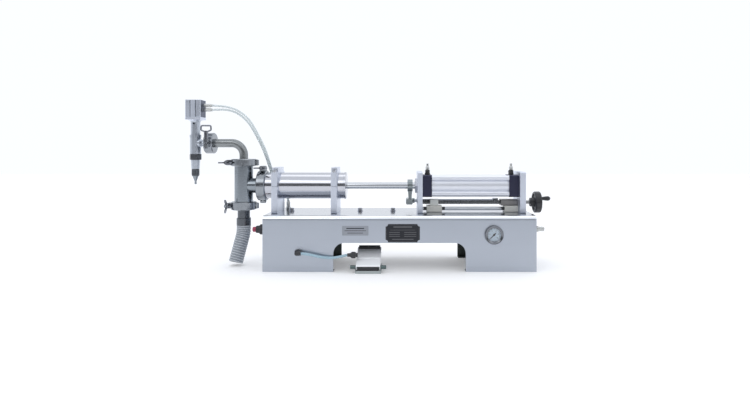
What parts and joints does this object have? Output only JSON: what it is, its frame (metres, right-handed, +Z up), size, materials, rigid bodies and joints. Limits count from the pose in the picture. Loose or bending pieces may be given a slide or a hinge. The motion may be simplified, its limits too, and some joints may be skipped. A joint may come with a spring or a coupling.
{
  "type": "piston liquid filler",
  "caption": "Bench-top pneumatic piston filler: cylinder pump on a sheet base, check valve body, delivery pipe and shut-off nozzle, handwheel volume setting and foot pedal.",
  "frame": {"origin": "on the bench, under the middle of the whole machine without its air tubes", "axes": "+X along the pump's axis towards the handwheel, +Y to the back, +Z up"},
  "size_m": [1.084, 0.244, 0.491],
  "materials": {
    "brushed_stainless": "satin brushed stainless sheet",
    "polished_stainless": "polished stainless steel",
    "chromed_steel": "ground and chromed rod",
    "pale_aluminium": "clear anodised, satin",
    "dark_anodised": "dark blue-grey painted casting",
    "zinc_steel": "plated screws",
    "dark_steel": "dark oiled steel",
    "nickel": "nickel plated brass",
    "white_polymer": "seal polymer",
    "black_plastic": "moulded, satin",
    "red_plastic": "glossy button cap",
    "grey_hose": "wire-ribbed hose",
    "clear_lens": "clear lens",
    "clear_tube": "translucent polyurethane tube",
    "blue_tube": "pale blue polyurethane tube"
  },
  "bodies": {
    "machine": {"base_housing": "brushed_stainless", "control_valve": "black_plastic", "screws": "zinc_steel", "cylinder_supports": "pale_aluminium", "material_cylinder": "polished_stainless", "valve_body": "polished_stainless", "valve_seats": "white_polymer", "delivery_pipe": "polished_stainless", "nozzle_tee": "polished_stainless", "nozzle_bonnet": "polished_stainless", "nozzle_nuts": "polished_stainless", "nozzle_sleeve": "polished_stainless", "nozzle_tip": "polished_stainless", "nozzle_air_cylinder": "pale_aluminium", "suction_adapter": "polished_stainless", "suction_hose": "grey_hose", "valve_top_clamp": "polished_stainless", "valve_bottom_clamp": "polished_stainless", "pump_clamp": "polished_stainless", "nozzle_clamp": "polished_stainless", "gaskets": "white_polymer", "air_plates": "pale_aluminium", "air_caps": "dark_anodised", "air_barrel": "pale_aluminium", "tie_rods": "chromed_steel", "flow_valves": "black_plastic", "guide_rod": "chromed_steel", "bearing_block": "dark_anodised", "end_sensor": "pale_aluminium", "name_plates": "black_plastic", "gauge_case": "dark_steel", "gauge_glass": "clear_lens", "button_housing": "black_plastic", "air_inlet": "nickel", "pedal_base": "brushed_stainless", "pedal_box": "black_plastic", "tube_fittings": "nickel", "front_nozzle_tube": "clear_tube", "rear_nozzle_tube": "clear_tube", "pedal_tube": "blue_tube"},
    "piston_set": {"piston_rod": "chromed_steel", "pistons": "white_polymer", "striker_arm": "brushed_stainless", "trip_rod": "chromed_steel"},
    "handwheel_set": {"lead_screw": "dark_steel", "handwheel": "black_plastic"},
    "grip": {"handwheel_grip": "black_plastic"},
    "carriage": {"sensor_carriage": "pale_aluminium"},
    "plunger": {"nozzle_plunger": "polished_stainless"},
    "inlet_check": {"inlet_poppet": "polished_stainless"},
    "outlet_check": {"outlet_poppet": "polished_stainless"},
    "treadle": {"treadle": "pale_aluminium"},
    "button": {"stop_button": "red_plastic"},
    "needle": {"gauge_needle": "black_plastic"},
    "front_speed_screw": {"front_flow_screw": "nickel"},
    "rear_speed_screw": {"rear_flow_screw": "nickel"},
    "top_nut": {"top_wing_nut": "polished_stainless"},
    "bottom_nut": {"bottom_wing_nut": "polished_stainless"},
    "pump_nut": {"pump_wing_nut": "polished_stainless"},
    "nozzle_nut": {"nozzle_loop_nut": "polished_stainless"}
  },
  "joints": [
    {"name": "piston_slide", "type": "slide", "parent": "machine", "child": "piston_set", "axis": [1, 0, 0], "range_m": [-0.15, 0]},
    {"name": "handwheel_turn", "type": "hinge", "parent": "machine", "child": "handwheel_set", "pos_m": [0.4845, 0.012, 0.185], "axis": [-1, 0, 0], "range_deg": [0, 7200]},
    {"name": "carriage_slide", "type": "slide", "parent": "machine", "child": "carriage", "axis": [1, 0, 0], "range_m": [0, 0.1]},
    {"name": "grip_turn", "type": "hinge", "parent": "handwheel_set", "child": "grip", "pos_m": [0.5235, -0.006, 0.1975], "axis": [1, 0, 0], "continuous": true},
    {"name": "plunger_lift", "type": "slide", "parent": "machine", "child": "plunger", "axis": [0, 0, 1], "range_m": [0, 0.006]},
    {"name": "inlet_check_lift", "type": "slide", "parent": "machine", "child": "inlet_check", "axis": [0, 0, 1], "range_m": [0, 0.006]},
    {"name": "outlet_check_lift", "type": "slide", "parent": "machine", "child": "outlet_check", "axis": [0, 0, 1], "range_m": [0, 0.006]},
    {"name": "treadle_press", "type": "hinge", "parent": "machine", "child": "treadle", "pos_m": [0.0065, -0.11, 0.016], "axis": [1, 0, 0], "range_deg": [-12, 0], "stiffness_Nm_per_rad": 2, "springref_deg": 4.58},
    {"name": "button_press", "type": "slide", "parent": "machine", "child": "button", "axis": [1, 0, 0], "range_m": [0, 0.004], "stiffness_N_per_m": 400, "springref_m": -0.002},
    {"name": "needle_turn", "type": "hinge", "parent": "machine", "child": "needle", "pos_m": [0.3581, -0.1004, 0.104], "axis": [0, 1, 0], "range_deg": [0, 270], "stiffness_Nm_per_rad": 0.0001, "springref_deg": -2.86},
    {"name": "front_speed_turn", "type": "hinge", "parent": "machine", "child": "front_speed_screw", "pos_m": [0.1775, 0.012, 0.285], "axis": [0, 0, 1], "range_deg": [-360, 1080]},
    {"name": "rear_speed_turn", "type": "hinge", "parent": "machine", "child": "rear_speed_screw", "pos_m": [0.4285, 0.012, 0.285], "axis": [0, 0, 1], "range_deg": [-360, 1080]},
    {"name": "top_nut_turn", "type": "hinge", "parent": "machine", "child": "top_nut", "pos_m": [-0.42, 0.012, 0.304], "axis": [0, -1, 0], "range_deg": [0, 720]},
    {"name": "bottom_nut_turn", "type": "hinge", "parent": "machine", "child": "bottom_nut", "pos_m": [-0.42, 0.012, 0.175], "axis": [0, -1, 0], "range_deg": [0, 720]},
    {"name": "pump_nut_turn", "type": "hinge", "parent": "machine", "child": "pump_nut", "pos_m": [-0.316, 0.012, 0.288], "axis": [0, -1, 0], "range_deg": [0, 720]},
    {"name": "nozzle_nut_turn", "type": "hinge", "parent": "machine", "child": "nozzle_nut", "pos_m": [-0.474, -0.027, 0.362], "axis": [0, 0, 1], "range_deg": [0, 720]}
  ],
  "couplings": [
    {"joint": "carriage_slide", "follows": "handwheel_turn", "m_per_rad": 0.00079577}
  ]
}
